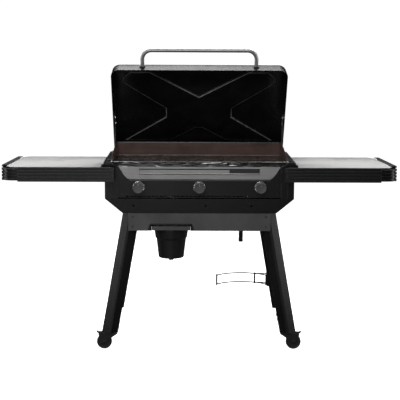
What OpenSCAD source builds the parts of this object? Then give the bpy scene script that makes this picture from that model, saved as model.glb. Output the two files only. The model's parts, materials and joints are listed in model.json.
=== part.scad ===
// Three-burner gas griddle barbecue on a four-leg cart, with side shelves and an open lid.
// X runs to the right, Y to the back and Z up. Depths are measured from the front plane of the
// shelf rails, and place() then moves the whole model so that its origin is on the floor at the
// centre of its outline.

/* [Overall] */
// Width over both side shelves
overall_w = 1854; // [1780:1:1900]
// Height of the side shelf tops
shelf_z = 873; // [850:1:880]
// Depth of the side shelf tops
shelf_d = 477; // [440:1:500]
// Width of the cookbox over its side panels
body_w = 890; // [870:1:930]
// Depth position of the back of the cookbox
body_rear = 600; // [596:1:640]
// Height of the top rims of the side panels
body_top = 890; // [885:1:892]
// Height of the lower edge of the side panels
body_low = 720; // [700:1:725]
// Height of the underside of the sloping lower pan
pan_low = 652; // [630:1:670]

/* [Sheet metal] */
// Thickness of the body sheet metal
sheet = 2; // [1.5:0.1:3]
// Thickness of the lid sheet
lid_t = 1.8; // [1.4:0.1:2.2]
// Thickness of the cooking plate
plate_t = 6; // [4:0.5:8]

/* [Lid] */
// Angle between the closed lid and the open lid
lid_angle = 57; // [45:1:62]
// Half width of the lid at its rim
lid_half_w = 433; // [430:1:436]
// Reach of the lid in front of its hinge axis
lid_reach = 495; // [470:1:500]
// Reach of the lid behind its hinge axis
lid_tail = 32; // [28:1:36]
// Height of the lid pan
lid_h = 92; // [84:1:104]
// Depth of the pressed cross in the lid
cross_depth = 7; // [4:0.5:9]
// Diameter of the handle tube
handle_d = 19; // [16:0.5:24]
// Distance between the two handle ends
handle_span = 558; // [420:1:640]
// Distance from the lid wall to the middle of the handle grip
handle_out = 85; // [60:1:95]
// Bend radius of the handle
handle_bend = 45; // [30:1:50]

/* [Griddle] */
// Half width of the griddle plate over its side walls
plate_half_w = 420; // [400:1:420]
// Height of the cooking surface
cook_z = 850; // [846:1:852]
// Height of the front and side walls of the griddle plate
plate_rim_z = 893; // [885:1:895]
// Width of the grease trough
trough_w = 50; // [40:1:54]
// Height of the top edge of the splash guard
guard_z = 934; // [920:1:936]

/* [Controls] */
// Spacing of the knobs and burners
knob_pitch = 287; // [270:1:290]
// Height of the knob centres
knob_z = 776; // [765:1:780]
// Diameter of a knob
knob_d = 52; // [40:1:60]
// Diameter of a valve stem
stem_d = 8; // [6:0.5:10]
// Travel of a knob when it is pushed in
knob_push = 3; // [2:0.5:4]

/* [Grease keg] */
// Sideways position of the grease keg
keg_x = -134; // [-160:1:-110]
// Radius of the mouth of the keg
keg_r = 82; // [70:1:84]
// Height of the underside of the keg
keg_low = 424; // [400:1:450]
// Wall of the keg
keg_wall = 2; // [1.5:0.1:3]

/* [Cart] */
// Width of a leg from side to side
leg_w = 76; // [60:1:80]
// Depth of a leg from crease to crease
leg_depth = 60; // [50:1:62]
// Wall of the leg tube
leg_wall = 2; // [1.5:0.1:3]
// Half the distance between the leg centres at the top
leg_top_x = 324; // [300:1:324]
// Half the distance between the caster stems
foot_x = 424; // [400:1:440]
// Diameter of a caster wheel
wheel_d = 72; // [60:1:75]
// Width of a caster wheel
wheel_w = 24; // [18:1:28]
// Distance from the swivel axis to the wheel axle
trail = 27; // [22:1:34]
// Diameter of a caster stem
caster_stem_d = 11; // [9:0.5:13]

/* [Tank] */
// Radius of the gas tank that hangs under the pan
tank_r = 152; // [120:1:152]
// Diameter of the tank guard wire
wire_d = 6; // [5:0.5:8]

/* [Hidden] */
$fn = 48;

// colours
c_black = [0.09, 0.09, 0.10];
c_satin = [0.15, 0.15, 0.16];
c_apron = [0.24, 0.24, 0.25];
c_steel = [0.72, 0.72, 0.70];
c_season = [0.20, 0.15, 0.13];
c_knob = [0.30, 0.30, 0.31];
c_brass = [0.72, 0.58, 0.30];
c_rubber = [0.05, 0.05, 0.05];
c_ceramic = [0.90, 0.89, 0.85];

body_half = body_w / 2;
knob_xs = [-knob_pitch, 0, knob_pitch];
corners4 = [[-1, -1], [1, -1], [-1, 1], [1, 1]];
over = 1; // how far a cutter runs past the face that it cuts

// hinge
pivot_y = 589;
pivot_z = 898;
pivot_r = 4;
pivot_gap = 0.06;
rim_x_gap = 2.4; // from the lid wall to the hinge arm inside it
arm_t = 3.5;
bracket_t = 3;
bracket_gap = 0.5;
arm_r = 12;
arm_bolt_us = [135, 172];
arm_bolt_w = 45;
arm_in = lid_half_w - lid_t - rim_x_gap - arm_t;
front_draft = 17;
side_draft = 2;
rear_draft = 5;
lid_corner_r = 40;
lid_rear_r = 14;
handle_w = 46; // height of the handle feet over the rim
lid_top_tail = lid_tail - lid_h * tan(rear_draft);

// depth of the outline with the lid open, and the shift that centres it
open_rear = pivot_y + lid_top_tail * cos(lid_angle) + lid_h * sin(lid_angle);
screw_head = 1.4; // how far the rail screws stand out at the front
frame_y = -(open_rear - screw_head) / 2;

// front of the cookbox
rim_in = plate_half_w + 1.5;
cap_rear = 73.5;
pan_half = 363;
pan_front = 54;
pan_rear = 520;
panel_y = 52;
pillar_y = 50;
pillar_half = 382;
panel_low = 725;
panel_top = 811;
fascia_y = 56;
fascia_top = 870;
fascia_low = 810;
fascia_half = 379;
fascia_low_half = 340;
knob_front = 10;
pocket_half = 284;
pocket_top = 862;
pocket_low = 833;
pocket_depth = 8;

// griddle
plate_front = 74;
plate_rear = 590;
plate_wall = 4;
trough_drop = 18;
rear_wall_z = 870;
drain_y = 107;
drain_r = 12;
guard_t = 2;
guard_side_flat = 400; // where the side guards start to slope down
guard_front = 110;
guard_front_z = 896;
foot_pad_r = 11;

// firebox
box_half = 408;
box_front = 138;
box_rear = 584;
box_low = 730;
box_top = 830;

// burners
burner_r = 13;
burner_wall = 1.5;
burner_z = 772;
burner_half = 55;
burner_front = 190;
burner_rear = 490;
port_pitch = 24;
pipe_r = 9.5;
pipe_y = 80;
pipe_z = knob_z - 30;
inlet_x = 230;
inlet_y = 104;
inlet_r = 8;
inlet_low = 628;
chute_r = 16.5;

// keg
keg_y = 154;
collar_half = 92;
collar_z = 584;
collar_t = 3;
apron_y = 56;
apron_half = 336;
apron_low = 567;

// legs
leg_top_y = 100;
foot_y = 40;
legs_mid_y = 285;
foot_z = 80;
stem_gap = 0.06;
leg_dx = foot_x - leg_top_x;
leg_dy = leg_top_y - foot_y;
leg_dz = pan_low - foot_z;
leg_len = sqrt(leg_dx * leg_dx + leg_dy * leg_dy + leg_dz * leg_dz);
leg_rx = -asin(leg_dy / leg_len);
leg_ry = asin(-leg_dx / leg_len / cos(leg_rx));

// casters
wheel_r = wheel_d / 2;
wheel_gap = 2;
fork_t = 3;
axle_r = 4;
brake_x = trail + 20;
brake_z = wheel_r + 37;
brake_pin_r = 2.4;
rear_heading = 80; // the rear casters trail towards the back

// shelves
rail_t = 22;
shelf_half = overall_w / 2;
rail_low = shelf_z - 67;
rail_end = 398;
rail_out = shelf_half - 81;
rail_ribs = 5;
rib_h = 8.2;
groove_h = 6.5;
groove_depth = 5;
corner_r = 60;
corner_low = rail_low + 5.5;
corner_ribs = 4;
side_rail_rear = shelf_d - 43;
side_rail_in = 24; // how far the side rail leans inwards over its length
side_angle = atan2(side_rail_in, side_rail_rear - corner_r);
side_len = norm([side_rail_in, side_rail_rear - corner_r]);
function rail_in_at(y) = [shelf_half - rail_t * cos(side_angle) - y * sin(side_angle),
    corner_r - rail_t * sin(side_angle) + y * cos(side_angle)];
shelf_in = body_half + 7;
top_t = 2;
cap_notch = [462, 75]; // clears the corner cap that stands over the shelf top

// tank guard
tank_x = 222;
tank_y = 384;
guard_wire_zs = [262, 215];
hook_x = 210;
hook_y = 346;
hook_low = 462;

// ---- helpers ----

module place() translate([0, frame_y, 0]) children();

// Children drawn on the right, and again mirrored on the left.
module both_sides() {
    children();
    mirror([1, 0, 0]) children();
}

// A box from its lowest to its highest corner.
module block(lo, hi) translate(lo) cube(hi - lo);

// Unit normal on the left of the step from a to b.
function normal2(a, b) = let (d = b - a) [-d[1], d[0]] / norm(d);

// The open line pts moved by t to its left, with mitred bends.
function moved_line(pts, t) = [for (i = [0:len(pts) - 1])
    let (n = i == 0 ? normal2(pts[0], pts[1])
            : i == len(pts) - 1 ? normal2(pts[i - 1], pts[i])
            : let (s = normal2(pts[i - 1], pts[i]) + normal2(pts[i], pts[i + 1])) s * 2 / (s * s))
    pts[i] + n * t];

function reversed(v) = [for (i = [len(v) - 1:-1:0]) v[i]];

// A bent sheet of thickness t whose outer side follows pts.
module bent_sheet(pts, t = sheet) polygon(concat(pts, reversed(moved_line(pts, t))));

// A profile given as [depth, height], pulled from x0 to x1 along the width.
module along_x(x0, x1) translate([x0, 0, 0]) rotate([90, 0, 90]) linear_extrude(x1 - x0) children();

// A profile given as [width, height], pulled from y0 to y1 towards the back.
module along_y(y0, y1) translate([0, y1, 0]) rotate([90, 0, 0]) linear_extrude(y1 - y0) children();

module cyl_x(x0, x1, r) translate([x0, 0, 0]) rotate([0, 90, 0]) cylinder(h = x1 - x0, r = r);

module cyl_y(y0, y1, r) translate([0, y1, 0]) rotate([90, 0, 0]) cylinder(h = y1 - y0, r = r);

// Points of a rectangle with rounded corners, from its two opposite corners.
function rounded_points(lo, hi, r, n = 6) = [for (c = [[hi[0] - r, hi[1] - r, 0], [lo[0] + r, hi[1] - r, 90],
        [lo[0] + r, lo[1] + r, 180], [hi[0] - r, lo[1] + r, 270]], i = [0:n])
    [c[0] + r * cos(c[2] + 90 * i / n), c[1] + r * sin(c[2] + 90 * i / n)]];

// A solid between outline a at height za and outline b, of as many points, at height zb.
module loft(a, za, b, zb) {
    n = len(a);
    polyhedron(
        points = concat([for (p = a) [p[0], p[1], za]], [for (p = b) [p[0], p[1], zb]]),
        faces = concat([[for (i = [0:n - 1]) i]], [[for (i = [n - 1:-1:0]) n + i]],
            [for (i = [0:n - 1]) [i, n + i, n + (i + 1) % n, (i + 1) % n]]));
}

function rect_points(lo, hi) = [[hi[0], hi[1]], [lo[0], hi[1]], [lo[0], lo[1]], [hi[0], lo[1]]];

// ---- legs and aprons ----

// Leg section: two creased faces with narrow flats on the creases.
module leg_section(inset) {
    flat = 5;
    w = leg_w / 2 - inset;
    d = leg_depth / 2 - inset;
    polygon([[flat, -d], [w, -flat], [w, flat], [flat, d], [-flat, d], [-w, flat], [-w, -flat], [-flat, -d]]);
}

module leg_bar(inset, low, high) translate([foot_x, foot_y, foot_z]) rotate([leg_rx, leg_ry, 0])
    translate([0, 0, low]) linear_extrude(high - low) leg_section(inset);

// The front right leg. Its lower end is closed by a solid foot with the socket of the caster stem.
module leg() {
    foot_h = 32;
    socket_depth = 26;
    difference() {
        union() {
            difference() {
                leg_bar(0, -60, leg_len + 60);
                leg_bar(leg_wall, -61, leg_len + 61);
            }
            intersection() {
                leg_bar(leg_wall / 2, -60, 120);
                block([200, -200, foot_z - 20], [600, 400, foot_z + foot_h]);
            }
        }
        block([0, -200, pan_low], [600, 400, pan_low + 200]);
        block([200, -200, -200], [600, 400, foot_z]);
        translate([foot_x, foot_y, foot_z - over])
            cylinder(h = socket_depth + over, r = caster_stem_d / 2 + stem_gap);
    }
}

module rear_half() translate([0, 2 * legs_mid_y, 0]) mirror([0, 1, 0]) children();

module leg_front_right() place() color(c_black) leg();
module leg_front_left() place() color(c_black) mirror([1, 0, 0]) leg();
module leg_rear_right() place() color(c_black) rear_half() leg();
module leg_rear_left() place() color(c_black) mirror([1, 0, 0]) rear_half() leg();

// Apron between the legs with flanges folded back at the top, the bottom and the ends.
module apron() {
    flange = 14;
    difference() {
        along_x(-apron_half, apron_half)
            bent_sheet([[apron_y + flange, apron_low], [apron_y, apron_low], [apron_y, pan_low],
                [apron_y + 30, pan_low]], -sheet);
        both_sides() leg_bar(0, -60, leg_len + 60);
    }
}

module front_apron() place() color(c_apron) difference() {
    notch_half = 107;
    notch_top = 601;
    apron();
    along_y(apron_y - over, apron_y + 60)
        polygon([[keg_x - notch_half - 4, apron_low - over], [keg_x - notch_half + 4, notch_top - 8],
            [keg_x - notch_half + 12, notch_top], [keg_x + notch_half - 12, notch_top],
            [keg_x + notch_half - 4, notch_top - 8], [keg_x + notch_half + 4, apron_low - over]]);
}

module rear_apron() place() color(c_apron) rear_half() apron();

module side_aprons() place() color(c_apron) both_sides() {
    x = leg_top_x - 2;
    along_y(leg_top_y + 45, 2 * legs_mid_y - leg_top_y - 45)
        bent_sheet([[x - 14, apron_low + 6], [x, apron_low + 6], [x, pan_low], [x - 18, pan_low]]);
}

// ---- casters ----

// Swivel fork in its own frame: the stem on Z, the wheel axle trailing along +X.
module caster_fork() {
    half = wheel_w / 2 + wheel_gap;
    stem_len = 24;
    top = foot_z - 0.4;
    // The crown carries the stem over the wheel.
    translate([0, 0, top - 5]) linear_extrude(5)
        polygon([[-36, -half], [-30, -half - fork_t], [40, -half - fork_t], [40, half + fork_t],
            [-30, half + fork_t], [-36, half]]);
    translate([0, 0, top - 1]) cylinder(h = stem_len + 1, r = caster_stem_d / 2);
    for (s = [-1, 1]) translate([0, s * (half + fork_t / 2), 0]) rotate([90, 0, 0])
        linear_extrude(fork_t, center = true)
            polygon([[-34, top], [53, top], [55, top - 8], [trail + 12, wheel_r + 6],
                [trail + 9, wheel_r - 8], [trail - 7, wheel_r - 8], [-3, top - 27], [-36, top - 5]]);
    for (s = [-1, 1]) translate([trail, s * (half + fork_t + 1), wheel_r]) cyl_y(-2, 2, axle_r + 3);
    translate([trail, 0, wheel_r]) cyl_y(-half - fork_t, half + fork_t, axle_r);
    translate([brake_x, 0, brake_z]) cyl_y(-half - 1, half + 1, brake_pin_r);
}

// Wheel with a rounded tread and recessed hub faces, on an axle along Y.
module caster_wheel() {
    bore = axle_r + 0.08;
    h = wheel_w / 2;
    difference() {
        translate([trail, 0, wheel_r]) rotate([90, 0, 0]) rotate_extrude($fn = 64)
            polygon([[0, -h], [11, -h], [13, -h + 4], [wheel_r - 9, -h + 4], [wheel_r - 7, -h],
                [wheel_r - 4, -h], [wheel_r - 1, -h + 2], [wheel_r, -h + 6], [wheel_r, h - 6],
                [wheel_r - 1, h - 2], [wheel_r - 4, h], [wheel_r - 7, h], [wheel_r - 9, h - 4],
                [13, h - 4], [11, h], [0, h]]);
        translate([trail, 0, wheel_r]) cyl_y(-h - over, h + over, bore);
    }
}

// Foot brake: an eye on a pin between the cheeks and a tab that stands up behind the wheel.
module caster_brake() {
    half = wheel_w / 2;
    translate([brake_x, 0, brake_z]) difference() {
        union() {
            cyl_y(-half, half, brake_pin_r + 2.6);
            along_y(-half, half) polygon([[1, 4.4], [4.5, -1], [8, 3], [17, 10.5], [15, 13], [5, 6]]);
        }
        cyl_y(-half - over, half + over, brake_pin_r + 0.06);
    }
}

module caster_at(side, rear) {
    y = rear ? 2 * legs_mid_y - foot_y : foot_y;
    heading = rear ? (side > 0 ? rear_heading : 180 - rear_heading) : (side > 0 ? 0 : 180);
    place() translate([side * foot_x, y, 0]) rotate([0, 0, heading]) children();
}

module caster_fork_front_left() color(c_satin) caster_at(-1, false) caster_fork();
module caster_fork_front_right() color(c_satin) caster_at(1, false) caster_fork();
module caster_fork_rear_left() color(c_satin) caster_at(-1, true) caster_fork();
module caster_fork_rear_right() color(c_satin) caster_at(1, true) caster_fork();
module wheel_front_left() color(c_rubber) caster_at(-1, false) caster_wheel();
module wheel_front_right() color(c_rubber) caster_at(1, false) caster_wheel();
module wheel_rear_left() color(c_rubber) caster_at(-1, true) caster_wheel();
module wheel_rear_right() color(c_rubber) caster_at(1, true) caster_wheel();
module brake_front_left() color(c_black) caster_at(-1, false) caster_brake();
module brake_front_right() color(c_black) caster_at(1, false) caster_brake();

// ---- cookbox ----

// Right side panel: front pillar, side sheet and rear return in one, with a folded rim on top.
module side_panel() {
    side_top = fascia_top + 1;
    rear_top = 862;
    rim_rear = pivot_y - arm_r - 3;
    difference() {
        union() {
            translate([0, 0, body_low]) linear_extrude(side_top - body_low)
                bent_sheet([[pillar_half, pillar_y + 20], [pillar_half, pillar_y], [body_half, pillar_y],
                    [body_half, body_rear], [body_half - 20, body_rear]]);
            along_y(cap_rear, rim_rear)
                bent_sheet([[body_half, side_top - 2], [body_half, side_top + 1],
                    [body_half + 7, side_top + 6], [body_half + 7, body_top], [rim_in, body_top],
                    [rim_in, body_top - 9]]);
        }
        block([0, rim_rear, rear_top], [body_w, body_rear + over, body_top + over]);
        for (z = [fascia_low + 24, fascia_top - 16]) translate([rail_end + 22, 0, z])
            cyl_y(pillar_y - over, pillar_y + sheet + over, 3);
    }
}

module side_panel_right() place() color(c_black) side_panel();
module side_panel_left() place() color(c_black) mirror([1, 0, 0]) side_panel();

// Stepped corner pieces that close the front of the rims and flank the lip of the griddle plate.
module corner_caps() place() color(c_black) both_sides() along_y(pillar_y - 2, cap_rear)
    polygon([[384, fascia_top + 1], [body_half + 7, fascia_top + 1], [body_half + 7, shelf_z + 0.5],
        [body_half + 16, shelf_z + 0.5], [body_half + 16, shelf_z + 7], [body_half + 7, shelf_z + 9],
        [body_half + 5, body_top + 2], [plate_half_w - 4, body_top + 2]]);

module rear_panel() place() color(c_black) difference() {
    block([-body_half + sheet, body_rear - 2 * sheet, body_low], [body_half - sheet, body_rear - sheet, 862]);
    for (i = [-7:7]) block([i * 52 - 16, body_rear - 10, 800], [i * 52 + 16, body_rear + 2, 807]);
}

// A four-sided funnel between the outlines at body_low and pan_low, drawn smaller by t.
module pan_solid(t) {
    h = body_low - pan_low;
    low = pan_low + t;
    high = body_low + (t > 0 ? over : 0);
    run_x = (body_half - pan_half) / h;
    run_front = (pan_front - panel_y) / h;
    run_rear = (body_rear - pan_rear) / h;
    x_at = [for (z = [low, high]) pan_half - t + run_x * (z - pan_low)];
    front_at = [for (z = [low, high]) pan_front + t - run_front * (z - pan_low)];
    rear_at = [for (z = [low, high]) pan_rear - t + run_rear * (z - pan_low)];
    intersection() {
        along_y(0, body_rear + 50)
            polygon([[-x_at[0], low], [x_at[0], low], [x_at[1], high], [-x_at[1], high]]);
        along_x(-body_w, body_w)
            polygon([[front_at[0], low], [rear_at[0], low], [rear_at[1], high], [front_at[1], high]]);
    }
}

module lower_pan() place() color(c_black) difference() {
    pan_solid(0);
    pan_solid(sheet);
    for (x = [-310, 30, 245]) translate([x, 0, 686]) cyl_y(pan_front - 20, pan_front + 20, 5);
    translate([keg_x, drain_y, pan_low - over]) cylinder(h = 5, r = chute_r + 0.5);
    translate([inlet_x, inlet_y, pan_low - over]) cylinder(h = 5, r = inlet_r + 2);
}

// Burner box: open at the top, with a rim that hangs on the side panels and the rear panel.
module firebox() place() color(c_satin) difference() {
    union() {
        difference() {
            block([-box_half, box_front, box_low], [box_half, box_rear, box_top]);
            block([-box_half + sheet, box_front + sheet, box_low + sheet],
                [box_half - sheet, box_rear - sheet, box_top + over]);
        }
        difference() {
            block([-body_half + sheet, box_front, box_top - sheet],
                [body_half - sheet, body_rear - 2 * sheet, box_top]);
            block([-box_half + 20, box_front + 16, box_low], [box_half - 20, box_rear - 16, box_top + over]);
        }
    }
    for (x = knob_xs) translate([x, 0, burner_z]) cyl_y(box_front - over, box_front + 4, burner_r + 1);
    for (x = [-3:3]) block([x * 110 - 30, box_rear - 4, 800], [x * 110 + 30, box_rear + over, 816]);
}

module zone_dividers() place() color(c_satin) both_sides()
    block([knob_pitch / 2 - 1, box_front + 6, box_low + sheet],
        [knob_pitch / 2 + 1, box_rear - 6, box_top - 6]);

// Front sheet under the fascia, with ears beside the fascia, knob holes and a row of vents.
module control_panel() place() color(c_black) difference() {
    union() {
        along_x(-pillar_half, pillar_half)
            bent_sheet([[panel_y + 20, panel_low], [panel_y, panel_low], [panel_y, panel_top],
                [panel_y + 8, panel_top]], -sheet);
        both_sides() along_y(panel_y, panel_y + sheet)
            polygon([[fascia_low_half - 12, panel_top - over], [pillar_half, panel_top - over],
                [pillar_half, fascia_top], [fascia_half, fascia_top], [fascia_half - 22, fascia_low + 22],
                [fascia_low_half, fascia_low + 5], [fascia_low_half - 12, fascia_low + 1]]);
    }
    for (x = knob_xs) translate([x, 0, knob_z]) cyl_y(panel_y - over, panel_y + sheet + over, 7);
    for (i = [-17:11]) block([i * 20 - 7, panel_y - over, panel_low + 4],
        [i * 20 + 7, panel_y + sheet + over, panel_low + 9]);
}

// Stainless strip over the control panel, with tapered ends and a shallow recess.
module front_fascia() place() color(c_steel) {
    outline = [[-fascia_half, fascia_top], [-fascia_half + 22, fascia_low + 24],
        [-fascia_low_half, fascia_low + 6], [-fascia_low_half + 12, fascia_low + 2],
        [fascia_low_half - 12, fascia_low + 2],
        [fascia_low_half, fascia_low + 6], [fascia_half - 22, fascia_low + 24], [fascia_half, fascia_top]];
    difference() {
        union() {
            along_y(fascia_y, fascia_y + 1.5) polygon(outline);
            block([-pocket_half - 1.5, fascia_y, pocket_low - 1.5],
                [pocket_half + 1.5, fascia_y + pocket_depth + 1.5, pocket_top + 1.5]);
            block([-fascia_half, fascia_y, fascia_top - 1.5], [fascia_half, plate_front - 0.5, fascia_top]);
        }
        block([-pocket_half, fascia_y - over, pocket_low],
            [pocket_half, fascia_y + pocket_depth, pocket_top]);
    }
    // A rounded bead runs along the recess.
    translate([0, fascia_y + pocket_depth - 2, pocket_low + 5])
        cyl_x(-pocket_half - 0.7, pocket_half + 0.7, 3);
}

// Plain blank badge in the recess.
module name_plate() place() color(c_black)
    block([140, fascia_y + pocket_depth - 4, pocket_low + 8.5],
        [pocket_half - 2, fascia_y + pocket_depth, pocket_top - 5]);

// ---- controls and burners ----

module knob_bezels() place() color(c_steel) for (x = knob_xs)
    translate([x, panel_y, knob_z]) rotate([90, 0, 0]) rotate_extrude()
        polygon([[stem_d / 2 + 1.5, 0], [knob_d / 2 + 3, 0], [knob_d / 2 + 3, 5], [knob_d / 2 + 1, 8],
            [knob_d / 2 - 4, 8], [knob_d / 2 - 6, 4], [stem_d / 2 + 1.5, 4]]);

module knob_at(x) place() color(c_knob) translate([x, knob_front, knob_z]) {
    bore = stem_d / 2 + 0.06;
    len = panel_y - 8 - knob_push - 1 - knob_front;
    difference() {
        rotate([-90, 0, 0]) rotate_extrude()
            polygon([[0, 0], [knob_d / 2 - 2, 0], [knob_d / 2, 2], [knob_d / 2, len - 3],
                [knob_d / 2 - 1.5, len], [0, len]]);
        cyl_y(4.5, len + over, bore);
        for (a = [0:45:315]) rotate([0, a + 22.5, 0]) translate([knob_d / 2 + 7, 0, 0])
            cyl_y(2, len + over, 9);
        block([-1.2, -over, 9], [1.2, 1, knob_d / 2 - 3]);
    }
}

module knob_left() knob_at(-knob_pitch);
module knob_center() knob_at(0);
module knob_right() knob_at(knob_pitch);

module stem_at(x) place() color(c_steel) translate([x, 0, knob_z]) cyl_y(knob_front + 5, 88, stem_d / 2);

module valve_stem_left() stem_at(-knob_pitch);
module valve_stem_center() stem_at(0);
module valve_stem_right() stem_at(knob_pitch);

// Valves: a body around each stem, a leg that sits on the manifold and a jet towards the burner.
module gas_valves() place() color(c_brass) for (x = knob_xs) difference() {
    union() {
        translate([x, 0, knob_z]) cyl_y(60, 104, 12);
        translate([x, 0, knob_z]) cyl_y(panel_y + sheet, 60, 9);
        translate([x, 0, knob_z]) cyl_y(104, 112, 7);
        translate([x, 0, burner_z]) cyl_y(104, 128, 4);
        translate([x, pipe_y, pipe_z]) cylinder(h = knob_z - pipe_z, r = 7);
    }
    translate([x, 0, knob_z]) cyl_y(panel_y, 94, stem_d / 2 + 0.06);
    translate([0, pipe_y, pipe_z]) cyl_x(x - 20, x + 20, pipe_r);
}

// Gas pipe under the valves, with the inlet fitting that points down through the pan.
module gas_manifold() place() color(c_brass) {
    translate([0, pipe_y, pipe_z]) cyl_x(-knob_pitch - 16, knob_pitch + 16, pipe_r);
    translate([inlet_x, 0, pipe_z]) cyl_y(pipe_y, inlet_y, inlet_r);
    translate([inlet_x, inlet_y, inlet_low]) cylinder(h = pipe_z + inlet_r - inlet_low, r = inlet_r);
    translate([inlet_x, inlet_y, inlet_low + 20]) cylinder(h = 4, r = 9.9);
}

module burner_path(r) {
    ends = [burner_front, burner_rear];
    for (y = ends) translate([0, y, 0]) cyl_x(-burner_half, burner_half, r);
    for (s = [-1, 1]) translate([s * burner_half, 0, 0]) cyl_y(burner_front, burner_rear, r);
    for (s = [-1, 1], y = ends) translate([s * burner_half, y, 0]) sphere(r = r);
}

// Tube burners: an inlet that swallows the jet, a closed loop with rows of ports, and two feet.
module burners() place() color(c_steel) for (x = knob_xs) translate([x, 0, burner_z]) difference() {
    union() {
        burner_path(burner_r);
        cyl_y(120, burner_front, burner_r);
        for (y = [burner_front + 60, burner_rear - 60], s = [-1, 1])
            block([s * burner_half - 8, y - 1.5, box_low + sheet - burner_z],
                [s * burner_half + 8, y + 1.5, -burner_r + 2]);
    }
    burner_path(burner_r - burner_wall);
    cyl_y(120 - over, burner_front, burner_r - burner_wall);
    for (y = [burner_front + 24:port_pitch:burner_rear - 16], s = [-1, 1])
        translate([s * burner_half, y, 2]) cyl_x(-burner_r - 2, burner_r + 2, 1.5);
}

module igniters() place() for (x = knob_xs) translate([x + 28, burner_front + 34, 0]) {
    color(c_ceramic) translate([0, 0, box_low + sheet]) cylinder(h = 36, r = 4);
    color(c_steel) translate([0, 0, box_low + sheet + 36]) cylinder(h = 12, r = 1.2);
}

module igniter_module() place() color(c_black)
    block([150, panel_y + sheet, panel_top - 24], [196, panel_y + 42, panel_top - 4]);

// ---- griddle ----

module griddle_plate() place() color(c_season) difference() {
    half = plate_half_w - guard_t;
    rear = plate_rear - guard_t;
    low = cook_z - plate_t;
    lowest = low - trough_drop;
    step_y = plate_front + plate_wall + trough_w;
    union() {
        along_x(-half, half)
            polygon([[plate_front, plate_rim_z], [plate_front, lowest], [step_y + plate_t, lowest],
                [step_y + plate_t, low], [rear, low], [rear, rear_wall_z], [rear - plate_wall, rear_wall_z],
                [rear - plate_wall, cook_z], [step_y, cook_z], [step_y, lowest + plate_t],
                [plate_front + plate_wall, lowest + plate_t], [plate_front + plate_wall, plate_rim_z]]);
        both_sides() along_x(half - plate_wall, half)
            polygon([[plate_front, plate_rim_z], [plate_front, lowest], [step_y + plate_t, lowest],
                [step_y + plate_t, low], [rear, low], [rear, plate_rim_z]]);
        translate([keg_x, drain_y, lowest - 14]) cylinder(h = 15, r = drain_r + 3);
    }
    translate([keg_x, drain_y, lowest - 20]) cylinder(h = 60, r = drain_r);
}

// Bent sheet around the back and the sides of the plate, sloping down towards the front.
module splash_guard() place() color(c_season) {
    low = rear_wall_z + 2;
    both_sides() along_x(plate_half_w - guard_t, plate_half_w)
        polygon([[guard_front, low], [plate_rear, low], [plate_rear, guard_z], [guard_side_flat, guard_z],
            [guard_front, guard_front_z]]);
    block([-plate_half_w, plate_rear - guard_t, cook_z], [plate_half_w, plate_rear, guard_z]);
}

module leveling_feet() place() color(c_steel) for (x = [-402, 402], y = [box_front + 22, box_rear - 22])
    translate([x, y, box_top]) {
        cylinder(h = 5, r = 8);
        translate([0, 0, 4]) cylinder(h = cook_z - plate_t - 0.3 - box_top - 4, r = foot_pad_r);
    }

// ---- grease keg ----

module grease_chute() place() color(c_steel) translate([keg_x, drain_y, 0]) rotate_extrude()
    polygon([[chute_r - 2, 594], [chute_r, 594], [chute_r, pan_low + 2], [chute_r + 9, pan_low + 2],
        [chute_r + 9, pan_low + 4], [chute_r, pan_low + 4], [chute_r, 780], [chute_r + 7, 800],
        [chute_r + 7, 808], [chute_r + 5, 808], [chute_r + 5, 801], [chute_r - 2, 781]]);

module keg_rails() place() color(c_black) translate([keg_x, 0, 0]) both_sides() along_y(90, 300)
    bent_sheet([[collar_half - 7, collar_z - 0.3 - sheet], [collar_half + 3, collar_z - 0.3 - sheet],
        [collar_half + 3, pan_low - sheet], [collar_half + 14, pan_low - sheet]]);

// Carrier plate of the keg: it slides on the rails and has a band folded down at the front.
module keg_collar() place() color(c_black) translate([keg_x, keg_y, 0]) difference() {
    union() {
        block([-collar_half, -collar_half, collar_z], [collar_half, collar_half, collar_z + collar_t]);
        block([-collar_half, -collar_half, collar_z - 16],
            [collar_half, -collar_half + 2, collar_z + collar_t]);
    }
    translate([0, 0, collar_z - over]) cylinder(h = collar_t + 2 * over, r = keg_r + 0.4);
}

// Grease keg: a stepped bucket with a rim, a front rib and a knob under its floor.
module grease_keg() place() color(c_black) translate([keg_x, keg_y, 0]) {
    step_z = 522;
    top = collar_z + collar_t + 2;
    difference() {
        union() {
            rotate_extrude($fn = 64)
                polygon([[0, keg_low], [keg_r - 24, keg_low], [keg_r - 21, keg_low + 3],
                    [keg_r - 11, step_z - 6], [keg_r - 6, step_z], [keg_r - 1, top - 30],
                    [keg_r, collar_z], [keg_r, top - 2], [keg_r + 5, top - 2], [keg_r + 5, top],
                    [0, top]]);
            intersection() {
                block([-11, -keg_r - 3, keg_low - 4], [11, 0, top - 26]);
                rotate_extrude($fn = 64)
                    polygon([[0, keg_low - 4], [keg_r - 18, keg_low - 4], [keg_r - 7, step_z - 6],
                        [keg_r - 2, step_z], [keg_r + 3, top - 26], [0, top - 26]]);
            }
            translate([0, 0, keg_low - 12]) cylinder(h = 13, r = 12);
        }
        rotate_extrude($fn = 64)
            polygon([[0, keg_low + keg_wall], [keg_r - 24 - keg_wall, keg_low + keg_wall],
                [keg_r - 11 - keg_wall, step_z - 6], [keg_r - 6 - keg_wall, step_z],
                [keg_r - 1 - keg_wall, top - 30], [keg_r - keg_wall, collar_z],
                [keg_r - keg_wall, top + over], [0, top + over]]);
    }
}

// ---- lid ----

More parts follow.
